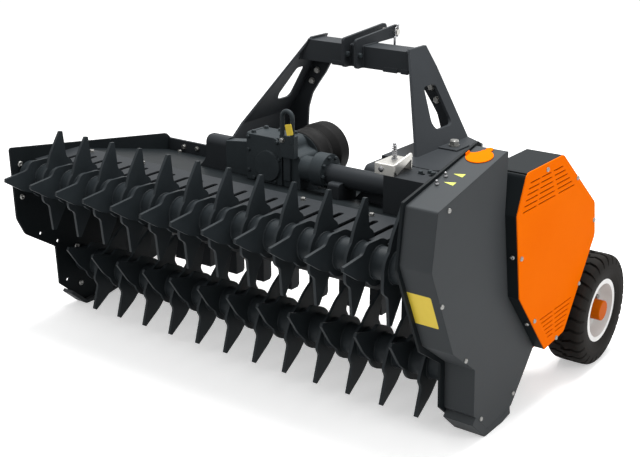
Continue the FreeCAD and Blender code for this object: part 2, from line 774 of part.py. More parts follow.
def add_hitch(label, side):
    body = add_body(label)
    y = size("low_pin_y")
    z = size("low_pin_z")
    outline = [(470, rail_bottom), (size("rail_back") + 40, rail_bottom, 20), (y + 35, z + 20, 30),
               (y + 35, z - 35, 34), (y - 60, z - 35, 30), (520, z + 10, 20)]
    hole = circle(y, z, size("low_bore"))
    middle = side * size("hitch_spread") / 2
    for x in (middle - size("hitch_gap") / 2 - size("hitch_plate"), middle + size("hitch_gap") / 2):
        pad(body, "YZ", [rounded(outline), hole], x, "Sizes.hitch_plate")
    keep(body)


def add_hose_bracket():
    body = add_body("hose_bracket")
    left, right, front, back = size("drive_box_left") - 40, size("drive_box_left") + 43, -164, -40
    base, top, thick = size("drive_box_top"), size("drive_box_top") + 42, 4
    pad(body, "YZ", [rounded([(front, base), (front + thick, base), (front + thick, top - thick),
                              (back, top - thick), (back, top), (front, top, 3)])], left, f"{right - left}")
    pad(body, "YZ", [rounded([(back - thick, base), (back, base), (back, top), (back - thick, top)])],
        left + 45, f"{right - left - 45}")
    bar = [(front, base + 18), (front + 14, base + 5), (-60, top), (-48, top + 8, 4), (-52, top + 26, 6),
           (front, top + 2)]
    pad(body, "YZ", [rounded(bar)], right, "6")
    keep(body)


# --- running gear ---------------------------------------------------------------------------


def add_wheel(side, name):
    x, half = side * wheel_mid, size("tyre_width") / 2
    bead, lip, radius = size("bead_radius"), size("rim_lip"), size("wheel_radius")
    place = FreeCAD.Placement(vec(0, size("wheel_y"), wheel_z), FreeCAD.Rotation())
    gap = size("seat_gap")

    tyre = add_body(name + "_tyre")
    seat = size("rim_width") / 2 - 6
    revolve(tyre, [(x - seat, bead + gap), (x + seat, bead + gap), (x + seat, lip + 6),
                   (x + half, lip + 30, 20), (x + half, radius - 28, 18), (x + half - 22, radius, 10),
                   (x - half + 22, radius, 10), (x - half, radius - 28, 18), (x - half, lip + 30, 20),
                   (x - seat, lip + 6)])
    tyre.Placement = place
    keep(tyre)

    rim = add_body(name + "_rim")
    wide = size("rim_width") / 2
    edge = 5.0
    disc = x + side * 6
    hub = size("hub_radius") + gap
    revolve(rim, [(x - wide, bead - edge), (disc - 4, bead - edge), (disc - 4, hub), (disc + 4, hub),
                  (disc + 4, bead - edge), (x + wide, bead - edge), (x + wide, lip), (x + wide - edge, lip),
                  (x + wide - edge, bead), (x - wide + edge, bead), (x - wide + edge, lip), (x - wide, lip)])
    rim.Placement = place
    keep(rim)

    hub = add_body(name + "_hub")
    near, far = x - side * 55, x + side * 76
    bore, outside = size("axle_radius") + size("shaft_gap"), size("hub_radius")
    revolve(hub, [(near, bore), (near, outside), (far, outside, 4), (far, 0), (far - side * 16, 0),
                  (far - side * 16, bore)])
    hub.Placement = place
    keep(hub)


def add_wheel_arm(side, name):
    body = add_body(name + "_wheel_arm")
    y, z = size("wheel_y"), wheel_z
    outline = [(115, 120, 12), (115, 198, 12), (230, 206, 80), (y - 40, z + 42, 60), (y + 42, z + 42, 41.9),
               (y + 42, z - 42, 41.9), (y - 60, z - 42, 80), (250, 120, 80)]
    start = half_out if side > 0 else -half_out - size("arm_thick")
    pad(body, "YZ", [rounded(outline)], start, "Sizes.arm_thick")
    face = half_out + size("arm_thick")
    length = wheel_mid + 56 - face
    pad(body, "YZ", [circle(y, z, size("axle_radius"))], face if side > 0 else -face - length, f"{length}")
    keep(body)


def add_skids():
    left = add_body("left_skid")
    pad(left, "YZ", [skid_outline(plate_foot, 0.6, 15)], -half_out - 25, "60")
    keep(left)
    right = add_body("right_skid")
    pad(right, "YZ", [skid_outline(case_foot, 0.85, 30)], half_out,
        "Sizes.case_width")
    keep(right)


def add_inspection_lid():
    body = add_body("inspection_lid")
    pad(body, "XY", [circle(-7, -57, 46)], 0, "3")
    pad(body, "XY", [rounded([(-12, -20), (12, -20), (12, 12, 11.9), (-12, 12, 11.9)])], 0, "3")
    pocket(body, "XY", [circle(-52, -8, 34)], -1, "5")
    pad(body, "XY", [rounded([(-53, -68), (-50, -68), (-50, -44), (-53, -44)])], 0, "10")
    body.Placement = FreeCAD.Placement(vec(*lid_pivot), FreeCAD.Rotation(vec(1, 0, 0), math.degrees(case_tilt)))
    keep(body)


add_side_plates()
add_hood()
add_comb()
add_drive_cases()
add_reel("upper_rotor", upper, (171, 81))
add_reel("lower_rotor", lower, (148, 58))
add_hammer_rotor()
add_left_bearings()
add_gearbox()
for side, name in ((-1, "left"), (1, "right")):
    add_rail(name + "_rail", side)
    add_leg(name + "_leg", side)
    add_hitch(name + "_hitch", side)
    add_wheel(side, name)
    add_wheel_arm(side, name)
add_headstock()
add_hose_bracket()
add_skids()
add_inspection_lid()
doc.recompute()

# --- checks and export ----------------------------------------------------------------------

for item in doc.Objects:
    if "Invalid" in item.State or "Error" in item.State:
        raise RuntimeError(f"{item.Label} failed to build: {item.State}")
for node in nodes:
    shape = node.Shape
    if shape.isNull() or not shape.isValid() or not shape.Solids:
        raise RuntimeError(f"{node.Label} has no valid solid")
for node in nodes:
    node.Shape.exportStep(f"parts/{node.Label}.step")
    print(node.Label, len(node.Shape.Solids), round(node.Shape.Volume / 1e3))
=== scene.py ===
import bpy
import json
import math
import numpy as np
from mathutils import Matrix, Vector


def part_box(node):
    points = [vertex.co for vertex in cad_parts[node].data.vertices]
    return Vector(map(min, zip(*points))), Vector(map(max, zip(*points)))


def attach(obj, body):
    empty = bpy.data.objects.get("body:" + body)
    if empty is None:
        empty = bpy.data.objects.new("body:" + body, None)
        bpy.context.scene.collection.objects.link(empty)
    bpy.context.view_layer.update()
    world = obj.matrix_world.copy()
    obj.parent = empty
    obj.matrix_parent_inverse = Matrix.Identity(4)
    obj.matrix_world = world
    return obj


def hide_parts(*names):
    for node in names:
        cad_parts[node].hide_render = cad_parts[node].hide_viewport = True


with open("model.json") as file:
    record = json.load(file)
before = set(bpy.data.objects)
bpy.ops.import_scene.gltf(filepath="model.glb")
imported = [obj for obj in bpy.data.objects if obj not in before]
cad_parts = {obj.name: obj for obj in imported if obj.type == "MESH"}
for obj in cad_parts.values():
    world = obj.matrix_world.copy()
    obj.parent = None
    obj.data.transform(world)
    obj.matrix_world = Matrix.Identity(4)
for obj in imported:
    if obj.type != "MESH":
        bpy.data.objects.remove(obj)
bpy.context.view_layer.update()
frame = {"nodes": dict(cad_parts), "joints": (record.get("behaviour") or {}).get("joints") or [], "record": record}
nodes = frame["nodes"]
axes = {joint["name"]: joint["pos_m"] for joint in frame["joints"]}
print("stage: frame loaded,", len(nodes), "nodes")

fullTurn = 2 * math.pi
right, left, forward, back, upward = (1, 0, 0), (-1, 0, 0), (0, -1, 0), (0, 1, 0), (0, 0, 1)
mergeDigits = 7  # points that agree to this many digits of a metre become one
faceDigits = 5  # a node's outer faces are read to this many digits of a metre
headTurn = 0.7  # radians by which each head of a group stands further round than the one before
steep = 0.9  # a direction with more of Z than this counts as upright


def ends(name, axis):
    # where a node's box starts and ends along an axis, as x, y or z: (smallest, largest)
    return tuple(round(getattr(corner, axis), faceDigits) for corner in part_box(name))


def gridFaces(rows, columns, closed):
    # each cell of a grid as the quad (r, c), (r, c + 1), (r + 1, c + 1), (r + 1, c); the last
    # column joins the first one, and in a closed grid the last row joins the first one too
    r = np.arange(rows if closed else rows - 1)[:, None]
    c = np.arange(columns)[None, :]
    r2, c2 = (r + 1) % rows, (c + 1) % columns
    quads = [r * columns + c, r * columns + c2, r2 * columns + c2, r2 * columns + c]
    return np.stack(quads, -1).reshape(-1, 4)


def meshFrom(name, grids, finish, body="frame", smooth=True, closed=False):
    # grids of one size as one object that rides on a body. Points that meet become one, and a
    # quad with a doubled corner is folded to a triangle. The sum of a . (b x c) + a . (c x d) over
    # the quads is six times the volume, and where it is negative the faces are turned outward
    rows, columns = grids[0].shape[:2]
    quads = gridFaces(rows, columns, closed)
    faces = np.concatenate([quads + rows * columns * i for i in range(len(grids))])
    points = np.round(np.concatenate([grid.reshape(-1, 3) for grid in grids]), mergeDigits)
    points, index = np.unique(points, axis=0, return_inverse=True)
    faces = index.reshape(-1)[faces]
    a, b, c, d = (points[faces[:, i]] for i in range(4))
    if (a * np.cross(b, c)).sum() + (a * np.cross(c, d)).sum() < 0:
        faces = faces[:, ::-1]
    whole = (faces != np.roll(faces, 1, 1)).all(1)
    folded = [list(dict.fromkeys(face)) for face in faces[~whole].tolist()]
    triangles = [face for face in folded if len(face) > 2]
    mesh = bpy.data.meshes.new(name)
    mesh.from_pydata(points.tolist(), [], faces[whole].tolist() + triangles)
    mesh.validate()
    mesh.polygons.foreach_set("use_smooth", np.full(len(mesh.polygons), smooth))
    mesh.materials.append(materials[finish])
    piece = bpy.data.objects.new(name, mesh)
    bpy.context.scene.collection.objects.link(piece)
    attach(piece, body)
    return piece


def circle(steps):
    # angles evenly round a full turn: 2 pi i / steps
    return np.linspace(0, fullTurn, steps, endpoint=False)


def turned(profile, steps):
    # a profile of (radius, height) turned about the height axis: point = (r cos a, r sin a, h)
    angle = circle(steps)[None, :]
    radius, height = np.array(profile, float).T[:, :, None]
    return np.stack([radius * np.cos(angle), radius * np.sin(angle), height + 0 * angle], -1)


def axesFor(normal):
    # three unit axes: w along the normal, u = up x w (X x w where w is upright), v = w x u
    w = np.array(normal, float) / np.linalg.norm(normal)
    u = np.cross(upward if abs(w[2]) < steep else right, w)
    u /= np.linalg.norm(u)
    return np.stack([u, np.cross(w, u), w])


def placed(shape, place, normal, turn=0.0):
    # a shape made about the origin, its height axis laid along the normal:
    # place + x u + y v + z w, with u and v turned about w first
    u, v, w = axesFor(normal)
    c, s = math.cos(turn), math.sin(turn)
    return np.array(place, float) + shape @ np.stack([c * u + s * v, c * v - s * u, w])


def onAxes(shape, place, across, up):
    # a shape laid on a surface: place + x across + y up + z out of the surface
    across, up = np.array(across, float), np.array(up, float)
    across, up = across / np.linalg.norm(across), up / np.linalg.norm(up)
    return np.array(place, float) + shape @ np.stack([across, up, np.cross(across, up)])


# a forged hexagon head on its washer: widths are shares of the flats, rises of the height
hexShares = {"steps": 24, "washer": 0.62, "foot": 0.99, "chamfer": 0.1, "shoulder": 0.8,
             "top": 0.44}


def hexHead(flats, height, washer):
    # seven rings from the washer's foot to the middle of the top; on the hexagon's own rings
    # r(a) = half the flats / cos of the angle from the middle of the nearest flat
    s = hexShares
    angle = circle(s["steps"])
    side = flats / 2 / np.cos((angle + math.pi / 6) % (math.pi / 3) - math.pi / 6)
    even = 0 * side
    rings = [(even + flats * s["washer"], 0), (even + flats * s["washer"], washer),
             (side * s["foot"], washer), (side, washer + s["chamfer"] * height),
             (side, washer + s["shoulder"] * height),
             (even + flats * s["top"], washer + height), (even, washer + height)]
    return np.stack([np.stack([r * np.cos(angle), r * np.sin(angle), h + even], -1)
                     for r, h in rings])


# a button head with a round recess, as (share of the radius, share of the height)
domeShares = [(1, 0), (1, 0.25), (0.9, 0.62), (0.66, 0.9), (0.42, 1), (0.36, 0.55), (0, 0.5)]
domeSteps = 20


def domeHead(radius, height):
    # the button head's shares, times its size, turned about its axis
    return turned([(radius * r, height * h) for r, h in domeShares], domeSteps)


def heads(name, shape, spots, finish, body="frame", smooth=False):
    # the same head at every (place, direction) spot as one object, each a little further round
    grids = [placed(shape, place, way, headTurn * i) for i, (place, way) in enumerate(spots)]
    return meshFrom(name, grids, finish, body, smooth)


wireSides = 8  # sides of a round wire or bead, which is only a few millimetres thick


def tubeAlong(path, radius, closed=False):
    # a round tube: each point of the path + radius (cos a u + sin a v). u is carried along the
    # path and kept square to it, v = ahead x u, and an open tube closes to a point at each end
    path = np.array(path, float)
    ahead = np.roll(path, -1, 0) - np.roll(path, 1, 0)
    if not closed:
        ahead[0], ahead[-1] = path[1] - path[0], path[-1] - path[-2]
    ahead /= np.linalg.norm(ahead, axis=1)[:, None]
    u = np.zeros_like(ahead)
    last = axesFor(ahead[0])[0]
    for i, w in enumerate(ahead):
        last = last - w * (last @ w)
        last /= np.linalg.norm(last)
        u[i] = last
    v = np.cross(ahead, u)
    angle = circle(wireSides)[None, :, None]
    tube = path[:, None] + radius * (np.cos(angle) * u[:, None] + np.sin(angle) * v[:, None])
    if not closed:
        start, end = (np.repeat(path[i][None, None], wireSides, 1) for i in (0, -1))
        tube = np.concatenate([start, tube, end])
    return tube


cornerSteps = 5  # points on each round corner of a plate or a label


def roundedBox(wide, tall, radius):
    # a rectangle's outline about its middle: each corner is its own middle + radius
    # (cos a, sin a), and the quarter circle turns by a right angle from corner to corner
    a = np.linspace(0, math.pi / 2, cornerSteps)
    corner = np.stack([np.cos(a), np.sin(a)], -1) * radius
    x, y = wide / 2 - radius, tall / 2 - radius
    parts = []
    for middle in ((x, y), (-x, y), (-x, -y), (x, -y)):
        parts.append(corner + middle)
        corner = corner @ np.array([[0, 1], [-1, 0]])
    return np.concatenate(parts)


def plate(s):
    # a flat plate with round corners: middle + (outline - middle) share, where the share is 1 at
    # the foot and the edge, less by the bevel on top, and 0 in the middles of foot and top
    outline = roundedBox(s["wide"], s["tall"], s["corner"])
    middle = outline.mean(0)
    reach = np.linalg.norm(outline - middle, axis=1).mean()
    thick, bevel = s["thick"], s["bevel"]
    rings = [(0, 0), (1, 0), (1, thick - bevel), (1 - bevel / reach, thick), (0, thick)]
    return np.stack([np.column_stack([middle + (outline - middle) * share,
                                      np.full(len(outline), height)])
                     for share, height in rings])


def linear(code):
    # an sRGB hex colour as linear red, green, blue and alpha, by the standard's own curve:
    # ((c + 0.055) / 1.055) ^ 2.4, and c / 12.92 for the darkest
    parts = np.array([int(code[i:i + 2], 16) / 255 for i in (1, 3, 5)])
    parts = np.where(parts <= 0.04045, parts / 12.92, ((parts + 0.055) / 1.055) ** 2.4)
    return (*parts, 1.0)


def addNode(tree, kind, settings=None, links=None):
    # one shader node: a setting goes to the socket of that name or number, else to the property
    node = tree.nodes.new(kind)
    for name, value in (settings or {}).items():
        if isinstance(name, int) or name in node.inputs:
            node.inputs[name].default_value = value
        else:
            setattr(node, name, value)
    for name, source in (links or {}).items():
        tree.links.new(source, node.inputs[name])
    return node


def newMaterial(name, build, settings):
    # a material whose surface is the shader that the build function makes from the settings
    material = bpy.data.materials.new(name)
    material.use_nodes = True
    tree = material.node_tree
    tree.nodes.clear()
    shader = build(tree, settings)
    addNode(tree, "ShaderNodeOutputMaterial", None, {"Surface": shader.outputs[0]})
    return material


# powder coat: the noise levels between which the tone drifts, how far the roughness moves, the
# depth of the peel, and how finely the edges' light line is worked out
coat = {"toneLow": 0.3, "toneHigh": 0.7, "glossDown": 0.05, "glossUp": 0.06,
        "driftDetail": 3.0, "peelDetail": 2.0, "peelDepth": 0.0006, "edgeSamples": 4}


def powderCoat(tree, s):
    # powder baked on steel: colour = a slow drift between two near tones, roughness follows the
    # drift, bump = fine orange peel, and a bevelled normal draws a soft light line on each edge
    place = addNode(tree, "ShaderNodeTexCoord").outputs["Object"]
    drift = addNode(tree, "ShaderNodeTexNoise", {
        "Scale": 1 / s["driftSize"], "Detail": coat["driftDetail"]}, {"Vector": place})
    tone = addNode(tree, "ShaderNodeMapRange", {
        "From Min": coat["toneLow"], "From Max": coat["toneHigh"], "To Min": 0.0, "To Max": 1.0},
        {"Value": drift.outputs["Fac"]})
    colour = addNode(tree, "ShaderNodeMix", {
        "data_type": "RGBA", 6: linear(s["colour"]), 7: linear(s["drift"])},
        {0: tone.outputs[0]})
    peel = addNode(tree, "ShaderNodeTexNoise", {
        "Scale": 1 / s["peelSize"], "Detail": coat["peelDetail"]}, {"Vector": place})
    gloss = addNode(tree, "ShaderNodeMapRange", {
        "To Min": s["roughness"] - coat["glossDown"], "To Max": s["roughness"] + coat["glossUp"]},
        {"Value": drift.outputs["Fac"]})
    edge = addNode(tree, "ShaderNodeBevel", {
        "samples": coat["edgeSamples"], "Radius": s["edge"]})
    bump = addNode(tree, "ShaderNodeBump", {
        "Strength": s["peel"], "Distance": coat["peelDepth"]},
        {"Height": peel.outputs["Fac"], "Normal": edge.outputs[0]})
    return addNode(tree, "ShaderNodeBsdfPrincipled", {"Specular IOR Level": s["specular"]}, {
        "Base Color": colour.outputs[2], "Roughness": gloss.outputs[0],
        "Normal": bump.outputs[0]})


# castings: how rough the sand left them, with the grain's depth
casting = {"cloudDetail": 4.0, "bump": 0.35, "grainDepth": 0.001, "edgeSamples": 4}


def castPaint(tree, s):
    # paint sprayed on sand-cast iron: colour = a cloudy mix of two near tones, bump = the sand's
    # grain, and a bevelled normal rounds each edge as a casting's are
    place = addNode(tree, "ShaderNodeTexCoord").outputs["Object"]
    grain = addNode(tree, "ShaderNodeTexVoronoi", {
        "Scale": 1 / s["grainSize"]}, {"Vector": place})
    cloud = addNode(tree, "ShaderNodeTexNoise", {
        "Scale": 1 / s["cloudSize"], "Detail": casting["cloudDetail"]}, {"Vector": place})
    colour = addNode(tree, "ShaderNodeMix", {
        "data_type": "RGBA", 6: linear(s["colour"]), 7: linear(s["drift"])},
        {0: cloud.outputs["Fac"]})
    edge = addNode(tree, "ShaderNodeBevel", {
        "samples": casting["edgeSamples"], "Radius": s["edge"]})
    bump = addNode(tree, "ShaderNodeBump", {
        "Strength": casting["bump"], "Distance": casting["grainDepth"]},
        {"Height": grain.outputs["Distance"], "Normal": edge.outputs[0]})
    return addNode(tree, "ShaderNodeBsdfPrincipled", {
        "Roughness": s["roughness"], "Specular IOR Level": s["specular"]},
        {"Base Color": colour.outputs[2], "Normal": bump.outputs[0]})


# bare metal: how far the grain moves the roughness, and how deep it is
metal = {"glossDown": 0.08, "glossUp": 0.12, "grainDetail": 3.0, "bump": 0.15,
         "grainDepth": 0.0004}


def bareMetal(tree, s):
    # plated or turned steel: one fine grain drives the tint, the roughness and a slight bump
    place = addNode(tree, "ShaderNodeTexCoord").outputs["Object"]
    grain = addNode(tree, "ShaderNodeTexNoise", {
        "Scale": 1 / s["grainSize"], "Detail": metal["grainDetail"]}, {"Vector": place})
    gloss = addNode(tree, "ShaderNodeMapRange", {
        "To Min": s["roughness"] - metal["glossDown"],
        "To Max": s["roughness"] + metal["glossUp"]}, {"Value": grain.outputs["Fac"]})
    colour = addNode(tree, "ShaderNodeMix", {
        "data_type": "RGBA", 6: linear(s["colour"]), 7: linear(s["drift"])},
        {0: grain.outputs["Fac"]})
    bump = addNode(tree, "ShaderNodeBump", {
        "Strength": metal["bump"], "Distance": metal["grainDepth"]},
        {"Height": grain.outputs["Fac"]})
    return addNode(tree, "ShaderNodeBsdfPrincipled", {"Metallic": 1.0}, {
        "Base Color": colour.outputs[2], "Roughness": gloss.outputs[0],
        "Normal": bump.outputs[0]})


# mouldings: how far the dust moves the roughness, and the depth of the mould's grain
mould = {"glossDown": 0.06, "glossUp": 0.08, "cloudDetail": 5.0, "grainDetail": 2.0,
         "bump": 0.25, "grainDepth": 0.0006}


def moulded(tree, s):
    # moulded rubber, plastic or film: colour = a cloudy mix towards dust, roughness follows it,
    # and bump = the mould's fine grain
    place = addNode(tree, "ShaderNodeTexCoord").outputs["Object"]
    cloud = addNode(tree, "ShaderNodeTexNoise", {
        "Scale": 1 / s["cloudSize"], "Detail": mould["cloudDetail"]}, {"Vector": place})
    fine = addNode(tree, "ShaderNodeTexNoise", {
        "Scale": 1 / s["grainSize"], "Detail": mould["grainDetail"]}, {"Vector": place})
    colour = addNode(tree, "ShaderNodeMix", {
        "data_type": "RGBA", 6: linear(s["colour"]), 7: linear(s["drift"])},
        {0: cloud.outputs["Fac"]})
    gloss = addNode(tree, "ShaderNodeMapRange", {
        "To Min": s["roughness"] - mould["glossDown"],
        "To Max": s["roughness"] + mould["glossUp"]}, {"Value": cloud.outputs["Fac"]})
    bump = addNode(tree, "ShaderNodeBump", {
        "Strength": mould["bump"], "Distance": mould["grainDepth"]},
        {"Height": fine.outputs["Fac"]})
    return addNode(tree, "ShaderNodeBsdfPrincipled", {"Specular IOR Level": s["specular"]}, {
        "Base Color": colour.outputs[2], "Roughness": gloss.outputs[0],
        "Normal": bump.outputs[0]})


# Sizes are in metres. Orange peel is about 1 mm across on real powder coat and sand grain about
# 0.5 mm on a casting; both are too fine to show, so they are drawn 2 to 4 mm across. The same
# goes for the grain of plated steel, rubber and vinyl, which is well under 1 mm.
finishes = {
    # satin anthracite polyester powder, baked on the welded frame: an even grey, a dull sheen
    "framePowderCoat": (powderCoat, {
        "colour": "#282b2e", "drift": "#2c2f32", "driftSize": 0.18, "peelSize": 0.003,
        "peel": 0.2, "roughness": 0.48, "edge": 0.0025, "specular": 0.08}),
    # the same powder on the tined rotors, made darker as painted shade for the rotors' shaded recesses, and a
    # little glossier
    "shadedRotorPowderCoat": (powderCoat, {
        "colour": "#23282b", "drift": "#282d30", "driftSize": 0.09, "peelSize": 0.003,
        "peel": 0.25, "roughness": 0.45, "edge": 0.002, "specular": 0.12}),
    # satin mid-grey powder on the folded chain case and the skids: smooth sheet, almost matt
    "casePowderCoat": (powderCoat, {
        "colour": "#3e4143", "drift": "#424547", "driftSize": 0.25, "peelSize": 0.003,
        "peel": 0.12, "roughness": 0.5, "edge": 0.004, "specular": 0.04}),
    # satin black powder on the belt box and the right side plate: the darkest sheet; on the hood and the left side
    # plate it stands as painted shade
    "bodyPowderCoat": (powderCoat, {
        "colour": "#171b1d", "drift": "#1b1f21", "driftSize": 0.25, "peelSize": 0.003,
        "peel": 0.12, "roughness": 0.48, "edge": 0.003, "specular": 0.05}),
    # bright orange powder on the belt cover, the lid and the wheel arms: full, even and matt
    "orangePowderCoat": (powderCoat, {
        "colour": "#ff7502", "drift": "#fc7001", "driftSize": 0.4, "peelSize": 0.003,
        "peel": 0.1, "roughness": 0.45, "edge": 0.003, "specular": 0.003}),
    # a darker copy of the orange powder on the turned hubs, as painted shade, with a finer peel
    "shadedHubOrange": (powderCoat, {
        "colour": "#c85e07", "drift": "#c25a05", "driftSize": 0.1, "peelSize": 0.002,
        "peel": 0.1, "roughness": 0.45, "edge": 0.002, "specular": 0.02}),
    # white enamel, dipped, on the pressed rims: the one glossy paint, a touch grey where thin
    "rimEnamel": (powderCoat, {
        "colour": "#e6e6e5", "drift": "#dddddb", "driftSize": 0.12, "peelSize": 0.002,
        "peel": 0.1, "roughness": 0.34, "edge": 0.002, "specular": 0.4}),
    # dark paint sprayed on sand-cast iron housings: a grainy skin and rounded edges
    "castIronPaint": (castPaint, {
        "colour": "#2a2f32", "drift": "#32383b", "grainSize": 0.004, "cloudSize": 0.06,
        "roughness": 0.5, "edge": 0.005, "specular": 0.1}),
    # bright zinc plated on folded sheet: a pale, slightly clouded metal
    "zincPlate": (bareMetal, {
        "colour": "#dcdbd6", "drift": "#c6c4be", "grainSize": 0.004, "roughness": 0.34}),
    # dull zinc on small screws: darker than the sheet, so that their recesses stay readable
    "screwZinc": (bareMetal, {
        "colour": "#979794", "drift": "#80807e", "grainSize": 0.003, "roughness": 0.42}),
    # plain turned steel of the shaft, the pins and the nipples: grey and rather shiny
    "turnedSteel": (bareMetal, {
        "colour": "#9a9a9a", "drift": "#85868a", "grainSize": 0.002, "roughness": 0.28}),
    # moulded carbon-black tyre rubber: matt, and browner where dust has settled in it
    "tyreRubber": (moulded, {
        "colour": "#1c1b1a", "drift": "#292725", "cloudSize": 0.05, "grainSize": 0.002,
        "roughness": 0.75, "specular": 0.06}),
    # moulded black polyethylene of the shaft guard: neutral, a little smoother than rubber
    "guardPlastic": (moulded, {
        "colour": "#171717", "drift": "#1d1d1d", "cloudSize": 0.08, "grainSize": 0.0015,
        "roughness": 0.55, "specular": 0.06}),
    # cast vinyl film of the blank labels: an even colour under a clear, slightly glossy face
    "yellowVinyl": (moulded, {
        "colour": "#ecd048", "drift": "#e6c941", "cloudSize": 0.03, "grainSize": 0.002,
        "roughness": 0.4, "specular": 0.3}),
    # the same film in lime, cast in its own batch
    "limeVinyl": (moulded, {
        "colour": "#c4ca3c", "drift": "#bcc234", "cloudSize": 0.03, "grainSize": 0.002,
        "roughness": 0.4, "specular": 0.3})}
materials = {name: newMaterial(name, build, settings)
             for name, (build, settings) in finishes.items()}

# which finish each of the record's slots gets, and the nodes that differ from their slot
slotFinish = {
    "dark_paint": "framePowderCoat", "grey_paint": "casePowderCoat",
    "orange_paint": "orangePowderCoat", "black_paint": "bodyPowderCoat",
    "cast_paint": "castIronPaint", "zinc": "zincPlate", "steel": "turnedSteel",
    "rim_paint": "rimEnamel", "tyre": "tyreRubber", "plastic": "guardPlastic"}
nodeFinish = {
    # painted shade: the rotors take a darker copy of the frame's powder
    "upper_rotor": "shadedRotorPowderCoat", "lower_rotor": "shadedRotorPowderCoat",
    "left_skid": "casePowderCoat", "right_skid": "casePowderCoat",
    # painted shade: the hood and the left side plate take the black sheet's finish because they lie in shade
    "hood_shell": "bodyPowderCoat", "left_side_plate": "bodyPowderCoat",
    # painted shade: the hubs take a darker copy of the orange
    "left_hub": "shadedHubOrange", "right_hub": "shadedHubOrange"}
# the record's slot that goes with each finish, worked out from it; nothing below reads this table
finishSlot = {finish: slot for slot, finish in slotFinish.items()}
finishSlot.update({"shadedRotorPowderCoat": "dark_paint", "screwZinc": "zinc",
                   "yellowVinyl": "plastic", "limeVinyl": "plastic"})
for part in frame["record"]["subparts"]:
    name = part["node"]
    mesh = nodes[name].data
    mesh.materials.clear()
    mesh.materials.append(materials[nodeFinish.get(name, slotFinish[part["material_slot"]])])
print("stage: materials on", len(nodes), "nodes")

# the tyre: its half profile of (distance from the middle plane, radius) from the bead to the
# crown, and the tread that is cut into it
tyre = {
    "lugs": 29, "steps": 900, "across": 84, "inside": 8,
    "grooveDepth": 0.010, "grooveShare": 0.22, "grooveSlope": 0.04,
    "crownHalf": 0.062, "zigzag": 0.42, "bend": 0.5, "leanSlope": 0.9, "leanTop": 1.1,
    "treadFoot": 0.190, "treadFade": 0.004,
    "centreHalf": 0.0042, "centreSwing": 0.004, "centreSlope": 0.0015, "centreShare": 0.9,
    "profile": [
        (-0.061, 0.1146), (-0.0655, 0.125), (-0.072, 0.139), (-0.0765, 0.156),
        (-0.0785, 0.172), (-0.0785, 0.186), (-0.0775, 0.196), (-0.0745, 0.2065),
        (-0.0715, 0.2135), (-0.0665, 0.2195), (-0.0595, 0.2238), (-0.048, 0.2253),
        (-0.036, 0.2258), (-0.024, 0.226), (-0.012, 0.226), (0, 0.226)]}


def tyreSurface(axle):
    # point = axle + (w, r cos a, r sin a), and r(a, w) = the carcass profile - depth x the larger
    # of side groove and centre groove. The phase counts lugs: a x lugs / 2 pi + a lean that
    # grows to the bend and then falls back, half a lug apart on the two sides. A side groove runs
    # where the phase is near a whole number, and the centre groove changes sides with every half
    # lug. On the inside the surface goes straight across from bead to bead
    t = tyre
    outline = np.array(t["profile"])
    outline = np.concatenate([outline, outline[-2::-1] * [-1, 1]])
    edges = np.linalg.norm(np.diff(outline, axis=0), axis=1)
    reach = np.concatenate([[0], np.cumsum(edges)])
    along = np.linspace(0, reach[-1], t["across"])
    w = np.interp(along, reach, outline[:, 0])[None, :]
    r = np.interp(along, reach, outline[:, 1])[None, :]
    angle = circle(t["steps"])[:, None]
    tread = np.clip((r - t["treadFoot"]) / t["treadFade"], 0, 1)
    cross = np.abs(w) / t["crownHalf"]
    rise = t["leanSlope"] * cross
    lean = np.where(cross < t["bend"], rise, t["leanTop"] - rise) * t["zigzag"]
    phase = angle * t["lugs"] / fullTurn + lean + np.where(w > 0, 0.5, 0.0)
    gap = np.abs((phase % 1.0) - 0.5) * 2
    groove = np.clip((t["grooveShare"] - gap) / t["grooveSlope"], 0, 1)
    swing = t["centreSwing"] * np.sign((phase * 2 % 2) - 1)
    centre = np.clip((t["centreHalf"] - np.abs(w + swing)) / t["centreSlope"], 0, 1)
    r = r - t["grooveDepth"] * np.maximum(groove, centre * t["centreShare"]) * tread
    inside = np.linspace(-outline[0, 0], outline[0, 0], t["inside"])[None, 1:-1]
    w = np.concatenate([w + 0 * angle, inside + 0 * angle], 1)
    r = np.concatenate([r, outline[0, 1] + 0 * inside + 0 * angle], 1)
    x, y, z = axle
    return np.stack([x + w, y + r * np.cos(angle), z + r * np.sin(angle)], -1)


def aroundX(centre, radius, angle):
    # a point on a circle about an axis along X: (x, y + r cos a, z + r sin a)
    x, y, z = centre
    return (x, y + radius * math.cos(angle), z + radius * math.sin(angle))


# the nuts round each hub, and the valve's stem, which stands out from the wheel's disc
wheelNuts = {"count": 5, "ring": 0.067, "start": 0.4, "discOut": 0.010,
             "flats": 0.021, "height": 0.014, "washer": 0.003}
valve = {"ring": 0.1, "angle": 1.9, "steps": 12, "profile": [
    (0, -0.004), (0.004, -0.004), (0.004, 0.012), (0.006, 0.013), (0.006, 0.028),
    (0.0045, 0.031), (0, 0.031)]}
nut = hexHead(wheelNuts["flats"], wheelNuts["height"], wheelNuts["washer"])
nutAngles = [fullTurn * i / wheelNuts["count"] + wheelNuts["start"]
             for i in range(wheelNuts["count"])]
for name, out in (("left", left), ("right", right)):
    low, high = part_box(name + "_tyre")
    middle = (low.x + high.x) / 2
    y, z = axes[name + "_wheel_spin"][1:]
    body = name + "_wheel"
    grids = [tyreSurface((middle, y, z))]
    piece = meshFrom(name + "TreadedTyre", grids, "tyreRubber", body, False, True)
    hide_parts(name + "_tyre")
    disc = (middle + out[0] * wheelNuts["discOut"], y, z)
    spots = [(aroundX(disc, wheelNuts["ring"], a), out) for a in nutAngles]
    heads(name + "WheelNuts", nut, spots, "screwZinc", body)
    stem = turned(valve["profile"], valve["steps"])
    spots = [(aroundX(disc, valve["ring"], valve["angle"]), out)]
    heads(name + "Valve", stem, spots, "guardPlastic", body, True)
print("stage: wheels")

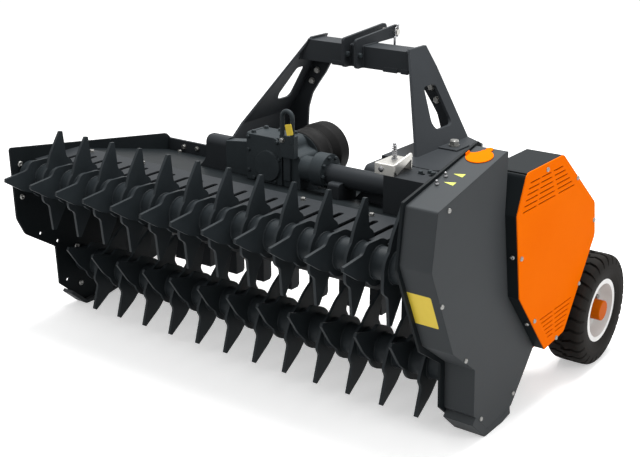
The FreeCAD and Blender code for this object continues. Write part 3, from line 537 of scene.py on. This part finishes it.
# the two sloping plates that carry screws, nipples and labels, each from its front edge
caseTop = {"y": -0.680, "z": 0.938, "slope": 0.098 / 0.444}
hoodTop = {"y": ends("comb_plate", "y")[1], "z": ends("hood_shell", "z")[1], "slope": -0.232}
caseTopUp = (0, -caseTop["slope"], 1)
hoodTopUp = (0, 0.226, 0.974)


def onTop(top, x, y):
    # a point on a sloping plate: z = the front edge's z + slope (y - the front edge's y)
    return (x, y, top["z"] + top["slope"] * (y - top["y"]))


# button-head screws of the case, its orange cover and the left side plate: (y, z) on each face,
# and two on the belt box's slanting facets
screws = {
    "radius": 0.0088, "height": 0.006, "plateRadius": 0.0125,
    "caseFace": ends("chain_case", "x")[1], "coverFace": ends("belt_cover", "x")[1],
    "plateFaces": ends("left_side_plate", "x"),
    "case": [(-0.615, 0.928), (-0.636, 0.615), (-0.464, 0.361), (-0.335, 0.088),
             (-0.095, 0.088)],
    "cover": [(-0.024, 0.928), (0.237, 0.835), (0.420, 0.623), (-0.186, 0.649),
              (0.324, 0.393), (-0.050, 0.370), (0.149, 0.232)],
    "plate": [(-0.578, 0.717), (-0.582, 0.576), (-0.306, 0.276), (-0.298, 0.096)],
    "facets": [((1.118, -0.208, 0.656), (0, -0.984, -0.176)),
               ((1.118, -0.063, 0.358), (0, -0.766, -0.643))]}
head = domeHead(screws["radius"], screws["height"])
spots = [((screws["caseFace"], y, z), right) for y, z in screws["case"]] + screws["facets"]
heads("caseScrews", head, spots, "screwZinc", smooth=True)
spots = [((screws["coverFace"], y, z), right) for y, z in screws["cover"]]
heads("coverScrews", head, spots, "screwZinc", smooth=True)
head = domeHead(screws["plateRadius"], screws["height"])
spots = [((x, y, z), way) for x, way in zip(screws["plateFaces"], (left, right))
         for y, z in screws["plate"]]
heads("sidePlateBolts", head, spots, "screwZinc", smooth=True)

# the faces that the bolts stand on; the frame's plates are all of one thickness
plateThick = 0.012
combTop, gearboxTop, driveBoxTop, railTop = (
    ends(name, "z")[1] for name in ("comb_plate", "gearbox", "drive_box", "right_rail"))
footTop = railTop + plateThick
legBack, clevisOut = ends("right_leg", "y")[1], ends("top_link_clevis", "x")[1]
legFront, clevisIn = legBack - plateThick, clevisOut - plateThick
barFront = ends("rear_bar", "y")[0]
# the pad under the bolt at the right leg's foot
footPad = {"wide": 0.090, "tall": 0.110, "corner": 0.008, "thick": 0.006, "bevel": 0.001,
           "place": (0.516, 0.425, footTop)}
webHoles = [(side * x, z) for side in (-1, 1) for x, z in ((0.300, 1.000), (0.329, 0.948))]
tubeFlange = {"centre": (ends("gearbox", "x")[1], -0.025, 0.762), "ring": 0.056, "count": 8,
              "start": 0.2}
flangeHoles = [aroundX(tubeFlange["centre"], tubeFlange["ring"],
                       fullTurn * i / tubeFlange["count"] + tubeFlange["start"])
               for i in range(tubeFlange["count"])]
# each group of hexagon bolts: finish, flats, head height, washer height, (place, direction) spots
bolts = {
    "combBolts": ("screwZinc", 0.017, 0.008, 0.002, [
        ((x, -0.283, combTop), upward)
        for x in (-0.853, -0.549, -0.245, 0.059, 0.282, 0.591, 0.860)]),
    "webBolts": ("screwZinc", 0.024, 0.010, 0.003, [
        ((x, legFront, z), forward) for x, z in webHoles]),
    "webNuts": ("screwZinc", 0.024, 0.015, 0.003, [
        ((x, legBack, z), back) for x, z in webHoles]),
    "clevisBolts": ("castIronPaint", 0.019, 0.009, 0.002, [
        ((x, 0.437, 1.128), way)
        for x, way in ((-clevisOut, left), (-clevisIn, right), (clevisIn, left),
                       (clevisOut, right))]),
    "footBolt": ("screwZinc", 0.036, 0.020, 0.005, [
        ((0.516, 0.427, footTop + footPad["thick"]), upward)]),
    "gearboxCoverBolts": ("castIronPaint", 0.014, 0.007, 0.001, [
        ((x, -0.068, z), forward)
        for x, z in ((-0.157, 0.854), (-0.157, 0.800), (-0.157, 0.714), (-0.130, 0.686),
                     (-0.020, 0.686), (0.000, 0.780), (-0.010, 0.850))]),
    "gearboxTopBolts": ("castIronPaint", 0.017, 0.009, 0.002, [
        ((x, y, gearboxTop), upward)
        for x, y in ((-0.152, -0.040), (-0.152, 0.042), (-0.080, 0.044), (-0.004, 0.044))]),
    "eyeBolt": ("screwZinc", 0.017, 0.009, 0.002, [((0.032, -0.086, 0.872), forward)]),
    "tubeFlangeBolts": ("castIronPaint", 0.013, 0.008, 0.001, [
        (hole, right) for hole in flangeHoles]),
    "railBolts": ("screwZinc", 0.024, 0.012, 0.003, [
        ((x, y, z), upward) for x, z in ((-0.403, 0.700), (0.403, railTop))
        for y in (0.160, 0.330)]),
    "hoodBolts": ("screwZinc", 0.017, 0.008, 0.002, [
        (onTop(hoodTop, x, y), hoodTopUp)
        for x, y in ((-0.878, 0.285), (0.878, 0.285), (0.284, 0.256))]),
    "rearBarBolts": ("screwZinc", 0.019, 0.009, 0.002, [
        ((x, barFront, z), forward)
        for x, z in ((-0.868, 0.613), (-0.786, 0.616), (0.786, 0.616), (0.868, 0.613))]),
    "saddleBolt": ("screwZinc", 0.026, 0.012, 0.004, [
        (onTop(hoodTop, 0.350, 0.160), hoodTopUp)]),
    "driveBoxBolts": ("castIronPaint", 0.017, 0.009, 0.002, [
        ((x, y, driveBoxTop), upward)
        for x, y in ((0.660, -0.068), (0.686, -0.044), (0.706, -0.056), (0.930, -0.030))])}
for name, (finish, flats, height, washer, spots) in bolts.items():
    heads(name, hexHead(flats, height, washer), spots, finish)
grids = [onAxes(plate(footPad), footPad["place"], right, back)]
meshFrom("footPad", grids, "framePowderCoat", smooth=False)
print("stage: screws and bolts")

# folded clips on the lower front edge of the headstock beam, each from one x to another
beamY, beamZ = ends("headstock_beam", "y"), ends("headstock_beam", "z")
clips = {"tall": 0.020, "corner": 0.003, "thick": 0.004, "bevel": 0.001, "rise": 0.006,
         "spans": [(-0.122, -0.048), (0.142, 0.214), (0.230, 0.268)]}
grids = [onAxes(plate({**clips, "wide": end - start}),
                ((start + end) / 2, beamY[0], beamZ[0] + clips["rise"]), right, upward)
         for start, end in clips["spans"]]
meshFrom("beamClips", grids, "framePowderCoat", smooth=False)

# the moulded sleeve over the gearbox's input housing, round the drive shaft's axis along Y, with
# two raised bands; its wall goes round as (radius, y)
sleeve = {"axis": (axes["pto_spin"][0], 0, axes["pto_spin"][2]), "steps": 96, "profile": [
    (0.1062, 0.0630), (0.1080, 0.0630), (0.1090, 0.0690), (0.1108, 0.0710), (0.1108, 0.0760),
    (0.1092, 0.0780), (0.1105, 0.1275), (0.1123, 0.1295), (0.1123, 0.1355), (0.1108, 0.1375),
    (0.1112, 0.1495), (0.1062, 0.1495)]}
grids = [placed(turned(sleeve["profile"], sleeve["steps"]), sleeve["axis"], back)]
meshFrom("inputGuardSleeve", grids, "guardPlastic", closed=True)

# weld beads where the headstock beam meets its legs and the clevis plates; a leg's inner face
# starts at its own x at the beam's top and leans outward below
weld = {"bead": 0.0055, "ripple": 0.14, "pitch": 0.004, "step": 0.0012,
        "legIn": {-1: 0.246, 1: 0.258}, "lean": 0.58}


def weldAlong(corners):
    # a bead along straight runs: radius = bead (1 + ripple sin(2 pi length / pitch))
    corners = np.array(corners, float)
    runs = np.linalg.norm(np.diff(corners, axis=0), axis=1)
    reach = np.concatenate([[0], np.cumsum(runs)])
    along = np.linspace(0, reach[-1], int(reach[-1] / weld["step"]))
    path = np.stack([np.interp(along, reach, corners[:, i]) for i in range(3)], -1)
    radius = weld["bead"] * (1 + weld["ripple"] * np.sin(fullTurn * along / weld["pitch"]))
    return tubeAlong(path, radius[:, None, None])


def legX(side, z):
    # a leg's inner face: side (its x at the beam's top + lean x the depth below the top)
    return side * (weld["legIn"][side] + weld["lean"] * (beamZ[1] - z))


(nearY, farY), (lowZ, highZ) = beamY, beamZ
# each bead goes up the beam's front and back over its top: (x at the foot, x at the top)
beads = {"beamWeldLeft": (legX(-1, lowZ), legX(-1, highZ)),
         "beamWeldRight": (legX(1, lowZ), legX(1, highZ))}
for letter, x in zip("ABCD", [side * x for side in (-1, 1) for x in (clevisIn, clevisOut)]):
    beads["clevisWeld" + letter] = (x, x)
for name, (footX, topX) in beads.items():
    bead = weldAlong([(footX, nearY, lowZ), (topX, nearY, highZ), (topX, farY, highZ)])
    meshFrom(name, [bead], "framePowderCoat")
print("stage: clips, sleeve and beam welds")


def blankLabel(name, s):
    # a thin plate with round corners laid at its place, with nothing on it
    meshFrom(name, [onAxes(plate(s), s["place"], s["across"], s["up"])], "yellowVinyl",
             smooth=False)


# one label on the case's sloping front, and a tag on the gearbox's lifting eye
caseLabel = {"wide": 0.094, "tall": 0.142, "corner": 0.005, "thick": 0.0004, "bevel": 0.0001,
             "place": (1.019, -0.628, 0.581), "across": right, "up": (0, -0.4219, 0.9067)}
tag = {"wide": 0.032, "tall": 0.044, "corner": 0.004, "thick": 0.002, "bevel": 0.0004,
       "place": (0.072, -0.094, 0.920), "across": (1, 0, 0.25), "up": (-0.25, 0, 1)}
# wedge-shaped labels on the case's top: a base from one y to another, a tip half way between
wedges = {"baseX": 1.048, "tipX": 1.009, "rows": [(-0.456, -0.433), (-0.514, -0.493)],
          "thick": 0.0004}
lift = np.array(caseTopUp) / np.linalg.norm(caseTopUp) * wedges["thick"]
grids = []
for low, high in wedges["rows"]:
    foot = np.array([onTop(caseTop, wedges["baseX"], low), onTop(caseTop, wedges["baseX"], high),
                     onTop(caseTop, wedges["tipX"], (low + high) / 2)])
    middle = foot * 0 + foot.mean(0)
    grids.append(np.stack([middle, foot, foot + lift, middle + lift]))
blankLabel("blankCaseLabel", caseLabel)
meshFrom("blankWedgeLabels", grids, "limeVinyl", smooth=False)
blankLabel("blankTag", tag)
print("stage: blank labels")

# grease nipples on the case's top, as (radius, height): a hexagon, a neck and a ball
nipples = {"steps": 16, "spots": [(0.996, -0.469), (0.997, -0.525)], "profile": [
    (0, -0.001), (0.007, -0.001), (0.007, 0.005), (0.0035, 0.006), (0.0035, 0.010),
    (0.0048, 0.012), (0.0042, 0.015), (0.002, 0.017), (0, 0.017)]}
spots = [(onTop(caseTop, x, y), caseTopUp) for x, y in nipples["spots"]]
shape = turned(nipples["profile"], nipples["steps"])
heads("greaseNipples", shape, spots, "turnedSteel", smooth=True)

# the linch pin, set in from the top link pin's end, from below that pin's axis to above it: a
# blunt point below, a wider head above
linch = {"inset": 0.005, "below": 0.022, "above": 0.023, "radius": 0.0035, "tip": 0.6,
         "tipRise": 0.006, "head": 1.9, "headRise": 0.010, "top": 0.012, "steps": 16}
linchX = ends("top_link_pin", "x")[1] - linch["inset"]
linchY, pinZ = (sum(ends("top_link_pin", axis)) / 2 for axis in ("y", "z"))
linchLow, linchHigh = pinZ - linch["below"], pinZ + linch["above"]
thin, wide = linch["radius"], linch["radius"] * linch["head"]
profile = [(0, linchLow), (thin * linch["tip"], linchLow), (thin, linchLow + linch["tipRise"]),
           (thin, linchHigh), (wide, linchHigh), (wide, linchHigh + linch["headRise"]),
           (0, linchHigh + linch["top"])]
spots = [((linchX, linchY, 0), upward)]
heads("linchPin", turned(profile, linch["steps"]), spots, "turnedSteel", smooth=True)

# its ring of wire, a flattened circle that hangs from the head: (x + out + lean cos a,
# y - behind - radius squash cos a, z + rise - radius (1 + sin a)), from the pin's upper end
ring = {"out": 0.004, "lean": 0.003, "behind": 0.012, "rise": 0.002, "radius": 0.021,
        "squash": 0.9, "wire": 0.0022, "steps": 40}
a = circle(ring["steps"])
path = np.column_stack([linchX + ring["out"] + ring["lean"] * np.cos(a),
                        linchY - ring["radius"] * np.cos(a) * ring["squash"] - ring["behind"],
                        linchHigh + ring["rise"] - ring["radius"] * (1 + np.sin(a))])
meshFrom("linchRing", [tubeAlong(path, ring["wire"], True)], "turnedSteel", closed=True)

# a spare pin that hangs from the ring, its foot given from the linch pin's upper end
spare = {"out": 0.006, "behind": 0.030, "below": 0.100, "steps": 16, "profile": [
    (0, 0), (0.004, 0), (0.0055, 0.004), (0.0055, 0.056), (0.003, 0.062), (0, 0.063)]}
place = (linchX + spare["out"], linchY - spare["behind"], linchHigh - spare["below"])
shape = turned(spare["profile"], spare["steps"])
heads("hangingPin", shape, [(place, upward)], "turnedSteel", smooth=True)

# a spring on the hose bracket, a helix of round wire: (r cos a, r sin a, wire + rise x share of
# the run), round a turned post; and a rivet on the bracket's front
spring = {"x": 0.560, "y": -0.092, "z": 0.882, "coils": 6, "steps": 24, "radius": 0.008,
          "rise": 0.052, "wire": 0.0022}
post = {"steps": 20, "profile": [
    (0, 0), (0.012, 0), (0.012, 0.004), (0.0045, 0.005), (0.0045, 0.054), (0.007, 0.056),
    (0.006, 0.062), (0, 0.064)]}
rivet = {"place": (0.549, ends("hose_bracket", "y")[0], 0.860), "steps": 24, "profile": [
    (0, -0.001), (0.011, -0.001), (0.011, 0.002), (0.006, 0.003), (0, 0.003)]}
a = np.linspace(0, fullTurn * spring["coils"], spring["steps"] * spring["coils"])
path = np.column_stack([spring["x"] + spring["radius"] * np.cos(a),
                        spring["y"] + spring["radius"] * np.sin(a),
                        spring["z"] + spring["wire"] + np.linspace(0, spring["rise"], len(a))])
meshFrom("bracketSpring", [tubeAlong(path, spring["wire"])], "turnedSteel")
spots = [((spring["x"], spring["y"], spring["z"]), upward)]
heads("bracketPost", turned(post["profile"], post["steps"]), spots, "turnedSteel", smooth=True)
spots = [(rivet["place"], forward)]
heads("bracketRivet", turned(rivet["profile"], rivet["steps"]), spots, "turnedSteel", smooth=True)
print("stage: nipples, pins and spring")

# weld beads where the rings meet the rotors' tubes, one at each face of every ring
reelWeld = {"bead": 0.004, "tube": 0.057, "pitch": 0.075, "rings": 24, "thick": 0.012,
            "steps": 60, "ripple": 0.12, "ripples": 20}


def weldRing(x, y, z):
    # a torus about X with a rippled section: size = bead (1 + ripple sin(ripples a)),
    # r = tube + size cos b, point = (x + size sin b, y + r cos a, z + r sin a)
    s = reelWeld
    a, b = circle(s["steps"])[:, None], circle(wireSides)[None, :]
    size = s["bead"] * (1 + s["ripple"] * np.sin(s["ripples"] * a))
    r = s["tube"] + size * np.cos(b)
    return np.stack([x + size * np.sin(b), y + r * np.cos(a), z + r * np.sin(a)], -1)


ringMiddles = [reelWeld["pitch"] * (i - (reelWeld["rings"] - 1) / 2)
               for i in range(reelWeld["rings"])]
for name in ("upper", "lower"):
    y, z = axes[name + "_reel_spin"][1:]
    grids = [weldRing(x + side * reelWeld["thick"] / 2, y, z)
             for x in ringMiddles for side in (-1, 1)]
    meshFrom(name + "ReelWelds", grids, "shadedRotorPowderCoat", name + "_reel", closed=True)
print("stage: rotor welds")

# the camera: tilt and heading in degrees, lens and sensor in millimetres, the rest in metres
view = {"place": (2.759, -3.547, 2.041), "tilt": 70.73, "heading": 36.31, "lens": 64.75,
        "sensor": 36.0, "far": 60}
cameraData = bpy.data.cameras.new("camera")
cameraData.lens, cameraData.sensor_width = view["lens"], view["sensor"]
cameraData.clip_end = view["far"]
camera = bpy.data.objects.new("camera", cameraData)
camera.location = view["place"]
camera.rotation_euler = (math.radians(view["tilt"]), 0, math.radians(view["heading"]))
bpy.context.scene.collection.objects.link(camera)
bpy.context.scene.camera = camera

# a wide floor of seamless paper: nearly white to the eye and in reflections, where the lift
# keeps the object's shadow light, but grey to the light that it throws back on the object
studio = {"floorSize": 30.0, "floorSeen": "#f9f9f9", "floorBounce": "#c8c8c8",
          "floorLift": 0.42, "worldLevel": 0.62, "white": "#ffffff"}


def studioPaper(tree, s):
    # seen by the camera or in a gloss = pale diffuse + lift; for any other ray = grey diffuse
    rays = addNode(tree, "ShaderNodeLightPath")
    seen = addNode(tree, "ShaderNodeMath", {"operation": "MAXIMUM"}, {
        0: rays.outputs["Is Camera Ray"], 1: rays.outputs["Is Glossy Ray"]})
    bounce = addNode(tree, "ShaderNodeBsdfDiffuse", {"Color": linear(s["floorBounce"])})
    paper = addNode(tree, "ShaderNodeBsdfDiffuse", {"Color": linear(s["floorSeen"])})
    glow = addNode(tree, "ShaderNodeEmission", {
        "Color": linear(s["white"]), "Strength": s["floorLift"]})
    lifted = addNode(tree, "ShaderNodeAddShader", None, {
        0: paper.outputs[0], 1: glow.outputs[0]})
    return addNode(tree, "ShaderNodeMixShader", None, {
        0: seen.outputs[0], 1: bounce.outputs[0], 2: lifted.outputs[0]})


half = studio["floorSize"] / 2
corners = [(-half, -half, 0), (half, -half, 0), (half, half, 0), (-half, half, 0)]
floorMesh = bpy.data.meshes.new("floor")
floorMesh.from_pydata(corners, [], [(0, 1, 2, 3)])
floorMesh.materials.append(newMaterial("seamlessPaper", studioPaper, studio))
floor = bpy.data.objects.new("floor", floorMesh)
bpy.context.scene.collection.objects.link(floor)

# the world: strength 1, which is white, to the camera, through glass and in a gloss, and a
# lower level as light on the object
world = bpy.data.worlds.new("studioWorld")
world.use_nodes = True
tree = world.node_tree
tree.nodes.clear()
rays = addNode(tree, "ShaderNodeLightPath")
seen = rays.outputs["Is Camera Ray"]
for name in ("Is Transmission Ray", "Is Glossy Ray"):
    larger = addNode(tree, "ShaderNodeMath", {"operation": "MAXIMUM"}, {
        0: seen, 1: rays.outputs[name]})
    seen = larger.outputs[0]
level = addNode(tree, "ShaderNodeMapRange", {
    "To Min": studio["worldLevel"], "To Max": 1.0}, {"Value": seen})
sky = addNode(tree, "ShaderNodeBackground", {
    "Color": linear(studio["white"])}, {"Strength": level.outputs[0]})
addNode(tree, "ShaderNodeOutputWorld", None, {"Surface": sky.outputs[0]})
bpy.context.scene.world = world

# three square soft boxes, with their power in watts
lamps = {
    "overhead": {"place": (0.15, 0.9, 4.1), "aim": (0, 0, 0.5), "size": 3.0, "power": 255},
    "right": {"place": (4.6, -0.6, 2.4), "aim": (0.4, 0, 0.5), "size": 2.2, "power": 40},
    "front": {"place": (-1.2, -4.8, 3.0), "aim": (0, -0.3, 0.5), "size": 2.6, "power": 32}}
for name, s in lamps.items():
    lampData = bpy.data.lights.new(name, "AREA")
    lampData.shape, lampData.size, lampData.energy = "SQUARE", s["size"], s["power"]
    lamp = bpy.data.objects.new(name, lampData)
    lamp.location = s["place"]
    towards = Vector(s["aim"]) - Vector(s["place"])
    lamp.rotation_euler = towards.to_track_quat("-Z", "Y").to_euler()
    bpy.context.scene.collection.objects.link(lamp)
bpy.context.scene.view_settings.view_transform = "Standard"
print("stage: camera and light")
